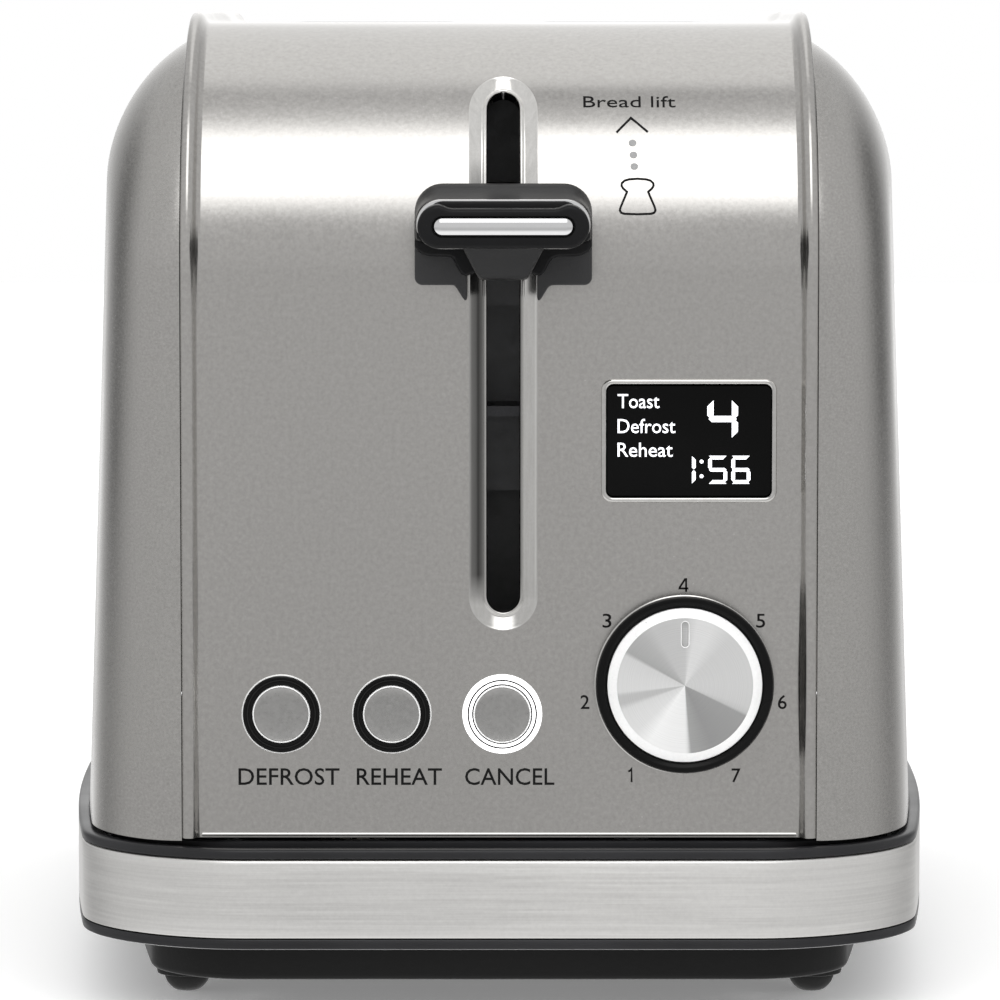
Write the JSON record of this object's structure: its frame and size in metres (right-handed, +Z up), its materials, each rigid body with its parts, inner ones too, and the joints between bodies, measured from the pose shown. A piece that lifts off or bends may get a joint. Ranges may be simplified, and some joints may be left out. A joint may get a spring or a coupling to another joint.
{
  "type": "pop-up toaster",
  "caption": "Two-slice pop-up toaster with steel shells, end controls, lift lever, display, browning knob, push buttons and crumb tray.",
  "frame": {"origin": "centre of the whole toaster's footprint box, on the surface that the feet stand on", "axes": "+Z up, +Y from the control end towards the back, +X to the right when facing the controls"},
  "size_m": [0.178, 0.3, 0.1962],
  "materials": {
    "wrap_steel": "satin, very fine vertical grain",
    "shell_steel": "brushed along the body",
    "band_steel": "brushed along the band",
    "tray_steel": "plain rolled sheet",
    "base_plastic": "satin black",
    "inner_plastic": "matte black",
    "handle_plastic": "fine-grained black",
    "knob_plastic": "semi-gloss black",
    "foot_rubber": "matte",
    "screw_steel": "zinc plated",
    "insert_chrome": "polished",
    "zinc_steel": "galvanised sheet",
    "wire_chrome": "bright wire",
    "iron": "dark iron",
    "spring_steel": "spring steel",
    "copper_coil": "enamelled copper winding",
    "switch_plastic": "heat-resistant plastic",
    "heater_alloy": "oxidised resistance ribbon",
    "shield_aluminium": "rolled sheet",
    "display_glass": "polished black window",
    "circuit_board": "green solder mask",
    "spun_aluminium": "spun face",
    "button_satin": "satin",
    "lit_ring": "translucent white, lit",
    "mica": "mica board"
  },
  "bodies": {
    "housing": {"centre_wrap": "wrap_steel", "side_shell_left": "shell_steel", "side_shell_right": "shell_steel", "base_band": "band_steel", "base_tub": "base_plastic", "base_floor": "base_plastic", "base_pan": "base_plastic", "rubber_feet": "foot_rubber", "base_screws": "screw_steel", "slot_bezel": "wrap_steel", "control_frame": "inner_plastic", "guide_rods": "wire_chrome", "rod_bracket": "zinc_steel", "magnet_core": "iron", "magnet_coil": "copper_coil", "mains_switch": "switch_plastic", "heater_board_left_outer": "mica", "heater_board_left_inner": "mica", "heater_board_right_inner": "mica", "heater_board_right_outer": "mica", "heater_wires": "heater_alloy", "chassis_front": "zinc_steel", "chassis_rear": "zinc_steel", "heat_shield_left": "shield_aluminium", "heat_shield_right": "shield_aluminium", "slot_liner_left": "wrap_steel", "slot_liner_right": "wrap_steel", "display_bezel": "insert_chrome", "display_window": "display_glass", "display_module": "inner_plastic", "control_board": "circuit_board", "encoder": "iron", "defrost_ring": "knob_plastic", "reheat_ring": "knob_plastic", "cancel_ring": "lit_ring", "button_board": "circuit_board", "power_board": "circuit_board", "cord_gland": "base_plastic"},
    "lever": {"lever_handle": "handle_plastic", "lever_insert": "insert_chrome", "lever_carriage": "zinc_steel", "bread_rack_left": "wire_chrome", "bread_rack_right": "wire_chrome", "armature_plate": "iron", "lift_spring": "spring_steel"},
    "knob": {"knob_cap": "spun_aluminium", "knob_ring": "knob_plastic", "knob_shaft": "wire_chrome"},
    "defrost_button": {"defrost_cap": "button_satin"},
    "reheat_button": {"reheat_cap": "button_satin"},
    "cancel_button": {"cancel_cap": "button_satin"},
    "tray": {"crumb_tray": "tray_steel", "crumb_tray_handle": "base_plastic"},
    "cage_left_outer": {"guide_cage_left_outer": "wire_chrome"},
    "cage_left_inner": {"guide_cage_left_inner": "wire_chrome"},
    "cage_right_inner": {"guide_cage_right_inner": "wire_chrome"},
    "cage_right_outer": {"guide_cage_right_outer": "wire_chrome"}
  },
  "joints": [
    {"name": "lever_slide", "type": "slide", "parent": "housing", "child": "lever", "axis": [0, 0, 1], "range_m": [-0.07, 0.016], "stiffness_N_per_m": 45, "springref_m": 0.055, "deforming": ["lift_spring"]},
    {"name": "knob_turn", "type": "hinge", "parent": "housing", "child": "knob", "pos_m": [0.036, -0.121, 0.066], "axis": [0, -1, 0], "range_deg": [-150, 150]},
    {"name": "defrost_press", "type": "slide", "parent": "housing", "child": "defrost_button", "axis": [0, 1, 0], "range_m": [0, 0.0015], "stiffness_N_per_m": 600, "springref_m": -0.001},
    {"name": "reheat_press", "type": "slide", "parent": "housing", "child": "reheat_button", "axis": [0, 1, 0], "range_m": [0, 0.0015], "stiffness_N_per_m": 600, "springref_m": -0.001},
    {"name": "cancel_press", "type": "slide", "parent": "housing", "child": "cancel_button", "axis": [0, 1, 0], "range_m": [0, 0.0015], "stiffness_N_per_m": 600, "springref_m": -0.001},
    {"name": "tray_slide", "type": "slide", "parent": "housing", "child": "tray", "axis": [0, 1, 0], "range_m": [0, 0.19]},
    {"name": "left_outer_grip", "type": "slide", "parent": "housing", "child": "cage_left_outer", "axis": [1, 0, 0], "range_m": [-0.00105, 0.00452]},
    {"name": "left_inner_grip", "type": "slide", "parent": "housing", "child": "cage_left_inner", "axis": [1, 0, 0], "range_m": [-0.00452, 0.00105]},
    {"name": "right_inner_grip", "type": "slide", "parent": "housing", "child": "cage_right_inner", "axis": [1, 0, 0], "range_m": [-0.00105, 0.00452]},
    {"name": "right_outer_grip", "type": "slide", "parent": "housing", "child": "cage_right_outer", "axis": [1, 0, 0], "range_m": [-0.00452, 0.00105]}
  ],
  "couplings": [
    {"joint": "left_outer_grip", "follows": "lever_slide", "ratio": -0.064286},
    {"joint": "left_inner_grip", "follows": "lever_slide", "ratio": 0.064286},
    {"joint": "right_inner_grip", "follows": "lever_slide", "ratio": -0.064286},
    {"joint": "right_outer_grip", "follows": "lever_slide", "ratio": 0.064286}
  ]
}
